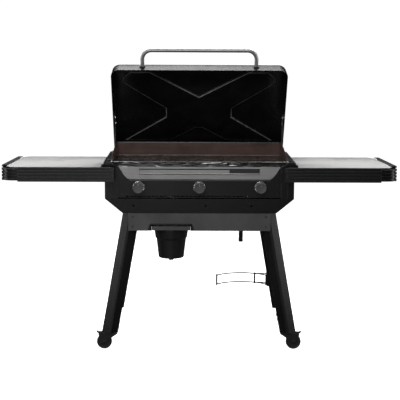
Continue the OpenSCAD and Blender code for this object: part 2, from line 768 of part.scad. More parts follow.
// Lid outline at height w over the rim, drawn smaller by t, with the front towards -Y.
function lid_outline(w, t) = let (
        half = lid_half_w - w * tan(side_draft) - t,
        front = -(lid_reach - w * tan(front_draft) - t),
        rear = lid_tail - w * tan(rear_draft) - t,
        rf = lid_corner_r - t,
        rr = lid_rear_r - t)
    [for (c = [[half - rr, rear - rr, 0, rr], [-half + rr, rear - rr, 90, rr],
        [-half + rf, front + rf, 180, rf], [half - rf, front + rf, 270, rf]], i = [0:8])
        [c[0] + c[3] * cos(c[2] + 90 * i / 8), c[1] + c[3] * sin(c[2] + 90 * i / 8)]];

// The closed outline pts moved by t to its left.
function moved_loop(pts, t) = let (n = len(pts)) [for (i = [0:n - 1])
    let (s = normal2(pts[(i + n - 1) % n], pts[i]) + normal2(pts[i], pts[(i + 1) % n]))
    pts[i] + s * 2 / (s * s) * t];

// Pressed cross between the four flat fields of the lid, drawn counter-clockwise.
cross_half = [[0, -275], [245, -426], [346, -426], [386, -386], [386, -360], [170, -200], [170, -147],
    [391, 8], [146, 8], [18, -75]];
cross_line = concat(cross_half, [for (i = [len(cross_half) - 1:-1:1]) [-cross_half[i][0], cross_half[i][1]]]);

module lid_at() place() translate([0, pivot_y, pivot_z]) rotate([-lid_angle, 0, 0]) children();

module lid_shell() color(c_black) lid_at() difference() {
    union() {
        difference() {
            loft(lid_outline(0, 0), 0, lid_outline(lid_h, 0), lid_h);
            loft(lid_outline(-over, lid_t), -over, lid_outline(lid_h - lid_t, lid_t), lid_h - lid_t);
        }
        loft(moved_loop(cross_line, cross_depth - 1), lid_h - lid_t - cross_depth, moved_loop(cross_line, -1),
            lid_h - lid_t + 0.5);
    }
    loft(moved_loop(cross_line, cross_depth + 0.5), lid_h - cross_depth, moved_loop(cross_line, -1),
        lid_h + over);
    for (u = arm_bolt_us) translate([0, -u, arm_bolt_w]) cyl_x(-lid_half_w - over, lid_half_w + over, 3.1);
}

// Frame on the front wall of the lid, with -Y pointing straight out of the wall.
module on_lid_front() lid_at() translate([0, -(lid_reach - handle_w * tan(front_draft)), handle_w])
    rotate([-front_draft, 0, 0]) children();

module lid_handle() color(c_steel) on_lid_front() {
    r = handle_d / 2;
    corner = handle_span / 2 - handle_bend;
    translate([0, -handle_out, 0]) cyl_x(-corner, corner, r);
    both_sides() {
        translate([handle_span / 2, 0, 0]) cyl_y(-handle_out + handle_bend, 0, r);
        translate([corner, -handle_out + handle_bend, 0]) rotate([0, 0, 270])
            rotate_extrude(angle = 90) translate([handle_bend, 0]) circle(r = r);
    }
}

module handle_ferrules() color(c_black) on_lid_front() both_sides()
    translate([handle_span / 2, 0, 0]) difference() {
        cyl_y(-6, 0, handle_d / 2 + 5);
        cyl_y(-7, over, handle_d / 2);
    }

// Arms inside the lid walls, from the hinge eye to the two bolts.
module hinge_arms() color(c_satin) lid_at() both_sides() difference() {
    union() {
        along_x(arm_in, arm_in + arm_t)
            polygon([[0, -2], [-14, -2], [-124, 30], [-184, 30], [-188, 34], [-188, 56], [-184, 60],
                [-122, 60], [0, arm_r]]);
        cyl_x(arm_in, arm_in + arm_t, arm_r);
    }
    cyl_x(arm_in - over, arm_in + arm_t + over, pivot_r + pivot_gap);
    for (u = arm_bolt_us) translate([0, -u, arm_bolt_w]) cyl_x(arm_in - over, arm_in + arm_t + over, 3.1);
}

module lid_nuts() color(c_steel) lid_at() both_sides() for (u = arm_bolt_us) translate([0, -u, arm_bolt_w]) {
    wall_out = lid_half_w - arm_bolt_w * tan(side_draft);
    cyl_x(arm_in - 4, arm_in, 6);
    cyl_x(arm_in, wall_out + 0.3, 3);
    cyl_x(wall_out + 0.3, wall_out + 2.3, 6);
}

// Brackets on the side rims that hold the hinge pins.
module hinge_brackets() place() color(c_satin) both_sides() {
    x1 = arm_in - bracket_gap;
    x0 = x1 - bracket_t;
    rear = pivot_y - arm_r - 3;
    along_x(x0, x1) polygon([[rear - 44, body_top], [rear, body_top], [pivot_y - 6, pivot_z - 9],
        [pivot_y + 6, pivot_z - 9], [pivot_y + 11, pivot_z - 3], [pivot_y + 11, pivot_z + 5],
        [pivot_y + 5, pivot_z + 11], [pivot_y - 6, pivot_z + 11], [rear - 44, body_top + 8]]);
    block([x1 - 1, rear - 44, body_top], [body_half - 2, rear, body_top + 3]);
    for (y = [rear - 34, rear - 10]) translate([body_half - 6.5, y, body_top + 3]) cylinder(h = 1.6, r = 4);
    translate([0, pivot_y, pivot_z]) cyl_x(x0 - 1.4, arm_in + arm_t + 1, pivot_r);
    translate([0, pivot_y, pivot_z]) cyl_x(x0 - 1.4, x0, pivot_r + 3);
}

module lid_bumpers() place() color(c_rubber) both_sides()
    block([lid_half_w - 6, 116, body_top], [lid_half_w + 4, 140, pivot_z - 0.4]);

// ---- side shelves ----

// Height ranges of n ribs of height h between low and high.
function rib_lows(n, h, low, high) = [for (i = [0:n - 1]) low + i * (high - low - h) / (n - 1)];

// Rail section from the outer face at 0 inwards, with grooves between the ribs and an open back.
module rail_section(n, low, high) difference() {
    lows = rib_lows(n, rib_h, low, high);
    translate([0, low]) square([rail_t, high - low]);
    translate([8, low + 2.5]) square([rail_t, high - low - 5]);
    for (i = [0:n - 2]) translate([-over, lows[i] + rib_h])
        square([groove_depth + over, lows[i + 1] - lows[i] - rib_h]);
}

// Frame of the right side rail: x runs inwards from its outer face and y along the rail.
module at_side_rail() translate([shelf_half, corner_r, 0]) rotate([0, 0, side_angle]) children();

module shelf_rails() place() color(c_satin) both_sides() {
    difference() {
        union() {
            along_x(rail_end + 16, rail_out) rail_section(rail_ribs, rail_low, shelf_z);
            block([rail_end + 4, 0, rail_low], [rail_end + 17, 8, shelf_z]);
            block([rail_end, 0, rail_low + 4], [rail_end + 17, 8, shelf_z - 4]);
            // The inner end reaches back to the pillar of the cookbox.
            block([rail_end + 4, 7, rail_low], [body_half - 2, pillar_y, shelf_z - 3]);
        }
        block([rail_end + 7, 8, rail_low + 3], [body_half - 5, pillar_y - 3, shelf_z - 6]);
        for (z = [rail_low + 28, rail_low + 55]) translate([rail_end + 7, 0, z]) cyl_y(-over, 5, 2.55);
        for (z = [fascia_low + 24, fascia_top - 16]) translate([rail_end + 22, 0, z])
            cyl_y(pillar_y - 4, pillar_y + over, 3);
    }
    // The side rail starts flush with the end of the corner piece.
    difference() {
        at_side_rail() mirror([1, 0, 0]) along_y(0, side_len)
            rail_section(rail_ribs, rail_low, shelf_z + 5);
        block([shelf_half - rail_t - 6, corner_r - 10, rail_low - over],
            [shelf_half + 10, corner_r, shelf_z + 10]);
    }
}

// Rounded corner pieces, lower than the rails that they join.
module shelf_corners() place() color(c_black) both_sides() {
    high = corner_low + 54.5;
    translate([shelf_half - corner_r, corner_r, 0]) rotate([0, 0, 270]) rotate_extrude(angle = 90)
        translate([corner_r, 0]) mirror([1, 0]) rail_section(corner_ribs, corner_low, high);
    along_x(rail_out, shelf_half - corner_r) rail_section(corner_ribs, corner_low, high);
}

// Steel shelf tops with a slanted outer edge, a chamfered rear corner and a flange at the back.
module shelf_tops() place() color(c_steel) both_sides() {
    front_x = rail_in_at(0)[0];
    rear = rail_in_at(side_len);
    translate([0, 0, shelf_z - top_t]) linear_extrude(top_t)
        polygon([[shelf_in, cap_notch[1]], cap_notch, [cap_notch[0], rail_t],
            [front_x - 22, rail_t], [front_x - 1, rail_in_at(0)[1] + 0.5],
            [rear[0] - 0.4, rear[1]], [rear[0] - 14, rear[1] + 18], [rear[0] - 34, shelf_d],
            [shelf_in, shelf_d]]);
    block([shelf_in, shelf_d - top_t, shelf_z - 22], [rear[0] - 34, shelf_d, shelf_z - top_t]);
    block([shelf_in, cap_notch[1], shelf_z - 18], [shelf_in + top_t, shelf_d - 3, shelf_z - top_t]);
}

// Channels under the shelf tops, bolted to the side panels.
module shelf_frames() place() color(c_black) both_sides() for (y = [70, shelf_d - 87]) difference() {
    block([body_half, y, shelf_z - top_t - 30], [shelf_half - 57, y + 26, shelf_z - top_t]);
    block([body_half + 3, y + 2, shelf_z - top_t - 31], [shelf_half - 60, y + 24, shelf_z - top_t - 2]);
    block([shelf_in - 0.5, y - over, shelf_z - 18.5], [shelf_in + top_t + 0.5, y + 27, shelf_z]);
}

module rail_screws() place() color(c_steel) both_sides()
    for (z = [rail_low + 28, rail_low + 55]) translate([rail_end + 7, 0, z]) {
        cyl_y(-screw_head, 0, 4);
        cyl_y(0, 5, 2.5);
    }

// ---- tank holder ----

module tank_hook() place() color(c_black) {
    block([hook_x - 10.5, hook_y, hook_low], [hook_x + 10.5, hook_y + 4, pan_low]);
    block([hook_x - 10.5, hook_y, hook_low], [hook_x + 10.5, hook_y + 20, hook_low + 4]);
    block([hook_x - 10.5, hook_y + 16, hook_low], [hook_x + 10.5, hook_y + 20, hook_low + 18]);
    block([hook_x - 18, hook_y - 16, pan_low - 3], [hook_x + 18, hook_y + 20, pan_low]);
}

// Wire guard behind the tank: two arcs, straight struts and a clamp on the rear right leg.
module tank_guard() place() color(c_black) {
    r = wire_d / 2;
    arc_r = tank_r + 6 + r;
    left_a = 142;
    right_a = 38;
    strut_a = 64;
    clamp_x = 352;
    arc_y = tank_y + arc_r * sin(right_a);
    strut_y = tank_y + arc_r * sin(strut_a);
    for (z = guard_wire_zs) {
        translate([tank_x, tank_y, z]) rotate([0, 0, right_a]) rotate_extrude(angle = left_a - right_a)
            translate([arc_r, 0]) circle(r = r);
        translate([0, arc_y, z]) cyl_x(tank_x + arc_r * cos(right_a), clamp_x + 2, r - 0.2);
        translate([0, strut_y, z]) cyl_x(tank_x + arc_r * cos(strut_a), clamp_x + 2, r - 0.2);
    }
    // Upright posts tie the two wires together where they end and where the brace leaves.
    for (a = [left_a, strut_a, right_a])
        translate([tank_x + arc_r * cos(a), tank_y + arc_r * sin(a), guard_wire_zs[1] - 5])
            cylinder(h = guard_wire_zs[0] - guard_wire_zs[1] + 10, r = r + 1.3);
    difference() {
        block([clamp_x, arc_y - 6, guard_wire_zs[1] - 10],
            [clamp_x + 26, strut_y + 6, guard_wire_zs[0] + 10]);
        rear_half() leg_bar(0, -60, leg_len + 60);
    }
}

leg_front_left();
leg_front_right();
leg_rear_left();
leg_rear_right();
front_apron();
rear_apron();
side_aprons();
caster_fork_front_left();
caster_fork_front_right();
caster_fork_rear_left();
caster_fork_rear_right();
wheel_front_left();
wheel_front_right();
wheel_rear_left();
wheel_rear_right();
brake_front_left();
brake_front_right();
side_panel_left();
side_panel_right();
corner_caps();
rear_panel();
lower_pan();
firebox();
zone_dividers();
control_panel();
front_fascia();
name_plate();
knob_left();
knob_center();
knob_right();
valve_stem_left();
valve_stem_center();
valve_stem_right();
knob_bezels();
gas_valves();
gas_manifold();
burners();
igniters();
igniter_module();
griddle_plate();
splash_guard();
leveling_feet();
grease_chute();
keg_rails();
keg_collar();
grease_keg();
lid_shell();
lid_handle();
handle_ferrules();
hinge_arms();
hinge_brackets();
lid_nuts();
lid_bumpers();
shelf_tops();
shelf_rails();
shelf_corners();
shelf_frames();
rail_screws();
tank_hook();
tank_guard();
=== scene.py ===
import json
import math

import bmesh
import bpy
from mathutils import Matrix, Vector
from mathutils.geometry import delaunay_2d_cdt


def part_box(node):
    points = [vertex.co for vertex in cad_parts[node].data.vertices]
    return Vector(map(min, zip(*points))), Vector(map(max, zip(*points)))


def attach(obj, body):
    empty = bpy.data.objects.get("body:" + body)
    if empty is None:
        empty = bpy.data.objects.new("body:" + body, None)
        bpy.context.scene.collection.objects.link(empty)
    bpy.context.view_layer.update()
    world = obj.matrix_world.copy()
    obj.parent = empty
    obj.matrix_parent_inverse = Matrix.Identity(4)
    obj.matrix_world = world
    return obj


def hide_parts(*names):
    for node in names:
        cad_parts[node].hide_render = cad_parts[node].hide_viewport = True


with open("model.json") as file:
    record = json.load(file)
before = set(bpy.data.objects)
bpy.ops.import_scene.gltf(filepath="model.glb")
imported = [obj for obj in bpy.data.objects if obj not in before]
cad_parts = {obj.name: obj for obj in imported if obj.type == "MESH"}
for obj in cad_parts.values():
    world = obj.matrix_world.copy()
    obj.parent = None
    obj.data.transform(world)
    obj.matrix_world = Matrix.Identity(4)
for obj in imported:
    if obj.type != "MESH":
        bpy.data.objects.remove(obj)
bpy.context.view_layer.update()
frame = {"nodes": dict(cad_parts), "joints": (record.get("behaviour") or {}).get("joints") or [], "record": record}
nodes = frame["nodes"]
MM = 0.001
SENSOR_WIDTH = 36
LENS_LENGTH = 102.3192
CAMERA_PLACE = (-0.058, -5.5783, 1.494)
CAMERA_YAW, CAMERA_PITCH, CAMERA_ROLL = 0.0114, 0.1461, -0.0047
SIDES = (("left", -1), ("right", 1))


# ---- camera, floor and light ----


def look_matrix(location, yaw, pitch, roll):
    ahead = Vector((math.sin(yaw) * math.cos(pitch), math.cos(yaw) * math.cos(pitch), -math.sin(pitch)))
    side = Vector((math.cos(yaw), -math.sin(yaw), 0))
    down = ahead.cross(side)
    right = side * math.cos(roll) + down * math.sin(roll)
    up = side * math.sin(roll) - down * math.cos(roll)
    m = Matrix((right, up, -ahead)).transposed().to_4x4()
    m.translation = location
    return m


def make_camera():
    data = bpy.data.cameras.new("camera")
    data.sensor_width = SENSOR_WIDTH
    data.lens = LENS_LENGTH
    data.clip_end = 60
    cam = bpy.data.objects.new("camera", data)
    bpy.context.scene.collection.objects.link(cam)
    cam.matrix_world = look_matrix(Vector(CAMERA_PLACE), CAMERA_YAW, CAMERA_PITCH, CAMERA_ROLL)
    bpy.context.scene.camera = cam


def area_light(name, place, target, size, power):
    data = bpy.data.lights.new(name, "AREA")
    data.shape = "RECTANGLE"
    data.size, data.size_y = size
    data.energy = power
    lamp = bpy.data.objects.new(name, data)
    bpy.context.scene.collection.objects.link(lamp)
    lamp.location = place
    lamp.visible_camera = False
    lamp.rotation_euler = (Vector(target) - Vector(place)).to_track_quat("-Z", "Y").to_euler()


def make_world():
    """A dim studio for the light that reaches the object, and a brighter sky for the camera."""
    world = bpy.data.worlds.new("studio")
    bpy.context.scene.world = world
    world.use_nodes = True
    nt = world.node_tree
    dim = nt.nodes["Background"]
    dim.inputs["Color"].default_value = (1, 1, 1, 1)
    dim.inputs["Strength"].default_value = 0.10
    # The node's own light grey stays. It shows only beyond the edges of the floor.
    seen = nt.nodes.new("ShaderNodeBackground")
    seen.inputs["Strength"].default_value = 1.0
    path = nt.nodes.new("ShaderNodeLightPath")
    mix = nt.nodes.new("ShaderNodeMixShader")
    nt.links.new(path.outputs["Is Camera Ray"], mix.inputs[0])
    nt.links.new(dim.outputs[0], mix.inputs[1])
    nt.links.new(seen.outputs[0], mix.inputs[2])
    nt.links.new(mix.outputs[0], nt.nodes["World Output"].inputs[0])


def make_floor():
    """A pale floor that curves up into a backdrop far behind the object."""
    bm = bmesh.new()
    half, front, back, radius, top = 14.0, -14.0, 9.0, 4.0, 11.0
    steps = 12
    profile = [(front, 0.0), (back, 0.0)]
    for i in range(1, steps + 1):
        a = math.pi / 2 * i / steps
        profile.append((back + radius * math.sin(a), radius * (1 - math.cos(a))))
    profile.append((back + radius, top))
    rows = [[bm.verts.new((x, y, z)) for x in (-half, half)] for y, z in profile]
    for a, b in zip(rows, rows[1:]):
        bm.faces.new((a[0], a[1], b[1], b[0]))
    mesh = bpy.data.meshes.new("floor")
    bm.to_mesh(mesh)
    bm.free()
    for p in mesh.polygons:
        p.use_smooth = True
    floor = bpy.data.objects.new("floor", mesh)
    bpy.context.scene.collection.objects.link(floor)
    mat = bpy.data.materials.new("pale_floor")
    mat.use_nodes = True
    nt = mat.node_tree
    pale = nt.nodes["Principled BSDF"]
    pale.inputs["Base Color"].default_value = (0.93, 0.93, 0.93, 1)
    pale.inputs["Roughness"].default_value = 0.85
    pale.inputs["Specular IOR Level"].default_value = 0.1
    pale.inputs["Emission Color"].default_value = (1, 1, 1, 1)
    pale.inputs["Emission Strength"].default_value = 0.95
    # What the floor sends back to the object is kept low, as on a set with black flags.
    weak = nt.nodes.new("ShaderNodeBsdfDiffuse")
    weak.inputs["Color"].default_value = (0.10, 0.10, 0.10, 1)
    path = nt.nodes.new("ShaderNodeLightPath")
    mix = nt.nodes.new("ShaderNodeMixShader")
    nt.links.new(path.outputs["Is Camera Ray"], mix.inputs[0])
    nt.links.new(weak.outputs[0], mix.inputs[1])
    nt.links.new(pale.outputs[0], mix.inputs[2])
    nt.links.new(mix.outputs[0], nt.nodes["Material Output"].inputs[0])
    mesh.materials.append(mat)


make_camera()
make_world()
make_floor()
area_light("key", (0.1, 1.2, 3.0), (0, 0.0, 0.8), (3.8, 1.4), 120)
area_light("front", (-0.7, -4.2, 3.3), (0, 0, 0.72), (2.2, 1.2), 100)
area_light("left", (-2.9, -0.4, 1.3), (-0.3, -0.1, 0.5), (0.3, 2.0), 26)
area_light("right", (2.9, -0.4, 1.3), (0.3, -0.1, 0.5), (0.3, 2.0), 26)
area_light("low_front", (-0.9, -3.6, 0.33), (-0.2, 0, 0.9), (2.8, 0.3), 9)
bpy.context.scene.view_settings.view_transform = "Standard"


# ---- materials ----


class Nodes:
    """Short calls for the nodes of one material."""

    def __init__(self, name):
        self.mat = bpy.data.materials.new(name)
        self.mat.use_nodes = True
        self.nt = self.mat.node_tree
        self.shader = self.nt.nodes["Principled BSDF"]
        self.coords = self.nt.nodes.new("ShaderNodeTexCoord").outputs["Object"]

    def node(self, kind, **props):
        n = self.nt.nodes.new(kind)
        for key, value in props.items():
            setattr(n, key, value)
        return n

    def feed(self, socket, value):
        if hasattr(value, "is_linked"):
            self.nt.links.new(value, socket)
        else:
            socket.default_value = value

    def stretched(self, scale):
        m = self.node("ShaderNodeMapping")
        self.feed(m.inputs["Vector"], self.coords)
        m.inputs["Scale"].default_value = scale
        return m.outputs[0]

    def noise(self, scale, detail=3.0, stretch=None, rough=0.55, distortion=0.0):
        n = self.node("ShaderNodeTexNoise")
        self.feed(n.inputs["Vector"], self.stretched(stretch) if stretch else self.coords)
        n.inputs["Scale"].default_value = scale
        n.inputs["Detail"].default_value = detail
        n.inputs["Roughness"].default_value = rough
        n.inputs["Distortion"].default_value = distortion
        return n.outputs["Fac"]

    def cells(self, scale, stretch=None):
        n = self.node("ShaderNodeTexVoronoi")
        self.feed(n.inputs["Vector"], self.stretched(stretch) if stretch else self.coords)
        n.inputs["Scale"].default_value = scale
        return n.outputs["Distance"]

    def span(self, value, low, high, to_low=0.0, to_high=1.0):
        n = self.node("ShaderNodeMapRange")
        self.feed(n.inputs["Value"], value)
        for key, v in (("From Min", low), ("From Max", high), ("To Min", to_low), ("To Max", to_high)):
            n.inputs[key].default_value = v
        return n.outputs["Result"]

    def math(self, op, a, b):
        n = self.node("ShaderNodeMath", operation=op)
        self.feed(n.inputs[0], a)
        self.feed(n.inputs[1], b)
        return n.outputs[0]

    def mix(self, factor, a, b):
        n = self.node("ShaderNodeMix", data_type="RGBA")
        self.feed(n.inputs["Factor"], factor)
        for socket, c in ((n.inputs[6], a), (n.inputs[7], b)):
            self.feed(socket, c if hasattr(c, "is_linked") else (*c, 1.0))
        return n.outputs[2]

    def edges(self, radius):
        """1 on convex and concave edges within radius, 0 on open faces; and the rounded normal."""
        bevel = self.node("ShaderNodeBevel", samples=4)
        bevel.inputs["Radius"].default_value = radius
        flat = self.node("ShaderNodeNewGeometry")
        dot = self.node("ShaderNodeVectorMath", operation="DOT_PRODUCT")
        self.nt.links.new(bevel.outputs[0], dot.inputs[0])
        self.nt.links.new(flat.outputs["Normal"], dot.inputs[1])
        return self.span(dot.outputs["Value"], 0.999, 0.86), bevel.outputs[0]

    def bump(self, height, strength, distance, normal=None):
        n = self.node("ShaderNodeBump")
        n.inputs["Strength"].default_value = strength
        n.inputs["Distance"].default_value = distance
        self.feed(n.inputs["Height"], height)
        if normal is not None:
            self.nt.links.new(normal, n.inputs["Normal"])
        return n.outputs[0]

    def done(self, colour, roughness, normal=None, **constant):
        s = self.shader.inputs
        self.feed(s["Base Color"], colour)
        self.feed(s["Roughness"], roughness)
        if normal is not None:
            self.nt.links.new(normal, s["Normal"])
        for key, value in constant.items():
            s[key.replace("_", " ")].default_value = value
        return self.mat


def powder_coat(name, dark, light, rough, edge_wear_and_highlight, peel=700, edge=0.0018, wear_and_highlight_amount=0.5, **constant):
    """Sprayed paint: fine orange peel, soft blotches, a little dust, and edges lightened partly by rubbing and
    partly as a painted highlight.
    """
    n = Nodes(name)
    fine = n.noise(peel, 2.0)
    soft = n.noise(5.0, 4.0, distortion=0.3)
    dust = n.noise(38.0, 5.0, rough=0.7)
    colour = n.mix(n.span(soft, 0.3, 0.7), dark, light)
    colour = n.mix(n.span(dust, 0.58, 0.8, 0.0, 0.22), colour, tuple(c * 1.9 + 0.01 for c in light))
    # Edges are lightened towards the edge colour: partly rubbing of the paint, partly a painted highlight along
    # creases and folds.
    rim, round_normal = n.edges(edge)
    rub_and_highlight = n.math("MULTIPLY", rim, n.span(n.noise(90.0, 4.0), 0.42, 0.62, 0.1, wear_and_highlight_amount))
    colour = n.mix(rub_and_highlight, colour, edge_wear_and_highlight)
    roughness = n.math("ADD", n.span(soft, 0.3, 0.7, rough - 0.04, rough + 0.05),
                       n.span(fine, 0.3, 0.7, -0.03, 0.04))
    return n.done(colour, roughness, n.bump(fine, 0.22, 0.00025, round_normal), **constant)


def brushed_steel(name, dark, light, rough, along, lines=260.0, tint=None, **constant):
    """Ground sheet steel: long fine lines along one axis, faint stains and a soft edge lightened as a painted
    highlight.
    """
    n = Nodes(name)
    stretch = tuple(0.012 if i == along else 1.0 for i in range(3))
    fine = n.noise(lines, 5.0, stretch, 0.75)
    broad = n.noise(lines / 7, 3.0, tuple(0.05 if i == along else 1.0 for i in range(3)))
    stain = n.noise(7.0, 5.0, distortion=0.6)
    colour = n.mix(n.span(fine, 0.3, 0.7), dark, light)
    colour = n.mix(n.span(broad, 0.35, 0.7, 0.0, 0.35), colour, tuple(c * 0.82 for c in light))
    if tint:
        colour = n.mix(n.span(stain, 0.5, 0.78, 0.0, 0.5), colour, tint)
    rim, round_normal = n.edges(0.0015)
    # The edge mask lightens the colour along edges: a painted highlight.
    colour = n.mix(n.math("MULTIPLY", rim, 0.35), colour, tuple(min(1.0, c * 1.3) for c in light))
    roughness = n.math("ADD", n.span(fine, 0.3, 0.7, rough - 0.06, rough + 0.07),
                       n.span(stain, 0.4, 0.7, 0.0, 0.08))
    return n.done(colour, roughness, n.bump(fine, 0.16, 0.00012, round_normal), Metallic=1.0, **constant)


def seasoned(name, dark, light, rough, streak, front=None, **constant):
    """Oiled carbon steel: mottled film, scraper streaks and polymerised drops."""
    n = Nodes(name)
    mottle = n.noise(11.0, 8.0, rough=0.62, distortion=0.8)
    scrape = n.noise(60.0, 4.0, streak, 0.6)
    drops = n.cells(55.0)
    colour = n.mix(n.span(mottle, 0.3, 0.72), dark, light)
    colour = n.mix(n.span(scrape, 0.5, 0.72, 0.0, 0.45), colour, tuple(c * 1.7 + 0.008 for c in light))
    colour = n.mix(n.span(drops, 0.02, 0.09, 0.35, 0.0), colour, tuple(c * 0.4 for c in dark))
    rim, round_normal = n.edges(0.0018)
    # Lighter colour along edges: partly a painted highlight, partly bare metal rubbed through the film.
    colour = n.mix(n.math("MULTIPLY", rim, 0.35), colour, tuple(c * 2.6 + 0.02 for c in light))
    roughness = n.math("ADD", n.span(mottle, 0.3, 0.7, rough - 0.08, rough + 0.1),
                       n.span(scrape, 0.4, 0.7, -0.04, 0.06))
    height = n.math("ADD", mottle, n.math("MULTIPLY", scrape, 0.35))
    normal = n.bump(height, 0.35, 0.0009, round_normal)
    if front is not None:
        # The outer face of the front wall is oiled black and wavy from the heat.
        parts = n.node("ShaderNodeSeparateXYZ")
        n.feed(parts.inputs[0], n.coords)
        face = n.span(parts.outputs["Y"], front + 0.0004, front + 0.0009, 1.0, 0.0)
        wave = n.noise(21.0, 1.5, (0.33, 1.0, 2.2), 0.4, 0.8)
        colour = n.mix(face, colour, (0.006, 0.0055, 0.0055))
        roughness = n.math("SUBTRACT", roughness, n.math("MULTIPLY", face, rough - 0.12))
        normal = n.bump(wave, 1.0, 0.0, normal)
        bump = normal.node
        n.feed(bump.inputs["Distance"], n.math("MULTIPLY", face, 0.011))
    return n.done(colour, roughness, normal, **constant)


def enamel(name):
    """Glossy porcelain enamel with orange peel, smoke film, wiped streaks, and painted highlights along edges and
    on the slopes of the pressed cross.
    """
    n = Nodes(name)
    peel = n.noise(240.0, 2.0)
    wave = n.noise(9.0, 2.0)
    smoke = n.noise(6.0, 7.0, rough=0.65, distortion=1.0)
    streak = n.noise(34.0, 4.0, (1.0, 0.15, 0.15), 0.6)
    colour = n.mix(n.span(smoke, 0.42, 0.74), (0.0035, 0.0035, 0.004), (0.0105, 0.0095, 0.009))
    colour = n.mix(n.span(streak, 0.62, 0.85, 0.0, 0.18), colour, (0.016, 0.015, 0.0145))
    rim, round_normal = n.edges(0.0016)
    # Lighter colour along edges: a painted highlight.
    colour = n.mix(n.math("MULTIPLY", rim, 0.4), colour, (0.05, 0.05, 0.052))
    # Painted highlight lines on the slopes of the pressed cross, where the edges catch the light.
    cross_highlight_mask = n.node("ShaderNodeAttribute", attribute_name="painted_cross_highlight").outputs["Fac"]
    colour = n.mix(n.math("MULTIPLY", cross_highlight_mask, n.span(n.noise(30.0, 3.0), 0.35, 0.6, 0.45, 1.0)), colour,
                   (0.17, 0.17, 0.172))
    roughness = n.math("ADD", n.span(smoke, 0.35, 0.7, 0.22, 0.28), n.span(streak, 0.55, 0.8, 0.0, 0.04))
    height = n.math("ADD", n.math("MULTIPLY", peel, 0.12), wave)
    return n.done(colour, roughness, n.bump(height, 0.14, 0.001, round_normal), Specular_IOR_Level=0.35)


def moulded(name, dark, light, rough, grain=1100.0, edge_wear_and_highlight=None, **constant):
    """Moulded plastic or rubber with a fine eroded texture and rubbed edges."""
    n = Nodes(name)
    fine = n.cells(grain)
    soft = n.noise(16.0, 5.0)
    colour = n.mix(n.span(soft, 0.3, 0.7), dark, light)
    rim, round_normal = n.edges(0.0012)
    colour = n.mix(n.math("MULTIPLY", rim, 0.35), colour, edge_wear_and_highlight or tuple(c * 1.8 + 0.01 for c in light))
    roughness = n.span(soft, 0.3, 0.7, rough - 0.05, rough + 0.06)
    return n.done(colour, roughness, n.bump(fine, 0.25, 0.00018, round_normal), **constant)


finishes = {
    # The black paint's light edge colour and high edge amount mostly make a painted highlight along the leg
    # creases, partly rubbing of the paint.
    "black_paint": powder_coat("black_powder_coat", (0.0025, 0.0025, 0.0028), (0.0045, 0.0045, 0.0048), 0.34,
                               (0.09, 0.09, 0.092), edge=0.0024, wear_and_highlight_amount=0.8, Specular_IOR_Level=0.28),
    "apron_paint": powder_coat("charcoal_powder_coat", (0.046, 0.046, 0.048), (0.092, 0.092, 0.094), 0.50,
                               (0.17, 0.17, 0.17), peel=420, wear_and_highlight_amount=0.4),
    "lid_enamel": enamel("black_enamel"),
    "rail_paint": powder_coat("rail_powder_coat", (0.0045, 0.0045, 0.005), (0.0075, 0.0075, 0.008), 0.38,
                              (0.08, 0.08, 0.082), peel=820, wear_and_highlight_amount=0.9, Specular_IOR_Level=0.4),
    "satin_steel": brushed_steel("aluminised_steel", (0.24, 0.24, 0.235), (0.36, 0.36, 0.35), 0.42, 0, 120.0),
    "caster_black": powder_coat("caster_coat", (0.008, 0.008, 0.0085), (0.013, 0.013, 0.0135), 0.38,
                                (0.12, 0.12, 0.12), wear_and_highlight_amount=0.8),
    "wheel_rubber": moulded("wheel_rubber", (0.009, 0.009, 0.009), (0.017, 0.0165, 0.016), 0.62,
                            edge_wear_and_highlight=(0.05, 0.048, 0.045)),
    "stainless": brushed_steel("stainless_sheet", (0.33, 0.33, 0.328), (0.45, 0.45, 0.445), 0.46, 0,
                               tint=(0.33, 0.305, 0.29), Anisotropic=0.3),
    "bright_steel": brushed_steel("bright_steel", (0.62, 0.62, 0.61), (0.80, 0.80, 0.79), 0.17, 0, 420.0),
    "badge": moulded("badge_blank", (0.012, 0.012, 0.013), (0.02, 0.02, 0.021), 0.34, 1500.0),
    "knob_gray": moulded("knob_plastic", (0.062, 0.062, 0.064), (0.082, 0.082, 0.085), 0.44,
                         edge_wear_and_highlight=(0.17, 0.17, 0.175)),
    "brass": brushed_steel("valve_brass", (0.40, 0.27, 0.10), (0.62, 0.44, 0.18), 0.30, 1, 300.0,
                           tint=(0.30, 0.19, 0.08)),
    "igniter_white": moulded("igniter_ceramic", (0.62, 0.60, 0.55), (0.78, 0.76, 0.71), 0.32, 700.0,
                             edge_wear_and_highlight=(0.4, 0.36, 0.3)),
    "module_black": moulded("module_plastic", (0.012, 0.012, 0.013), (0.02, 0.02, 0.021), 0.5),
    "seasoned_steel": seasoned("seasoned_plate", (0.018, 0.0105, 0.0085), (0.040, 0.0215, 0.0165), 0.26,
                               (0.05, 1.0, 1.0), front=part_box("griddle_plate")[0].y,
                               Specular_IOR_Level=0.7),
    "guard_steel": seasoned("seasoned_guard", (0.050, 0.024, 0.018), (0.078, 0.040, 0.031), 0.40,
                            (0.06, 1.0, 1.0), Coat_Weight=0.15, Coat_Roughness=0.3),
    "keg_paint": powder_coat("keg_coat", (0.006, 0.006, 0.0065), (0.011, 0.011, 0.0115), 0.36,
                             (0.07, 0.07, 0.07)),
}


def finish_cad_nodes():
    """Gives every carried-over CAD node the finish of its slot in the record, except three nodes whose finish is
    set here instead.
    """
    slots = {part["node"]: part["material_slot"] for part in frame["record"]["subparts"]}
    slots.update(keg_collar="apron_paint", knob_bezels="bright_steel", rail_screws="caster_black")
    for name, obj in nodes.items():
        slot = slots.get(name)
        if slot is None:
            raise ValueError("no material slot for " + name)
        if not obj.material_slots:
            obj.data.materials.append(finishes[slot])
        for ms in obj.material_slots:
            ms.material = finishes[slot]


finish_cad_nodes()


# ---- detailed pieces ----


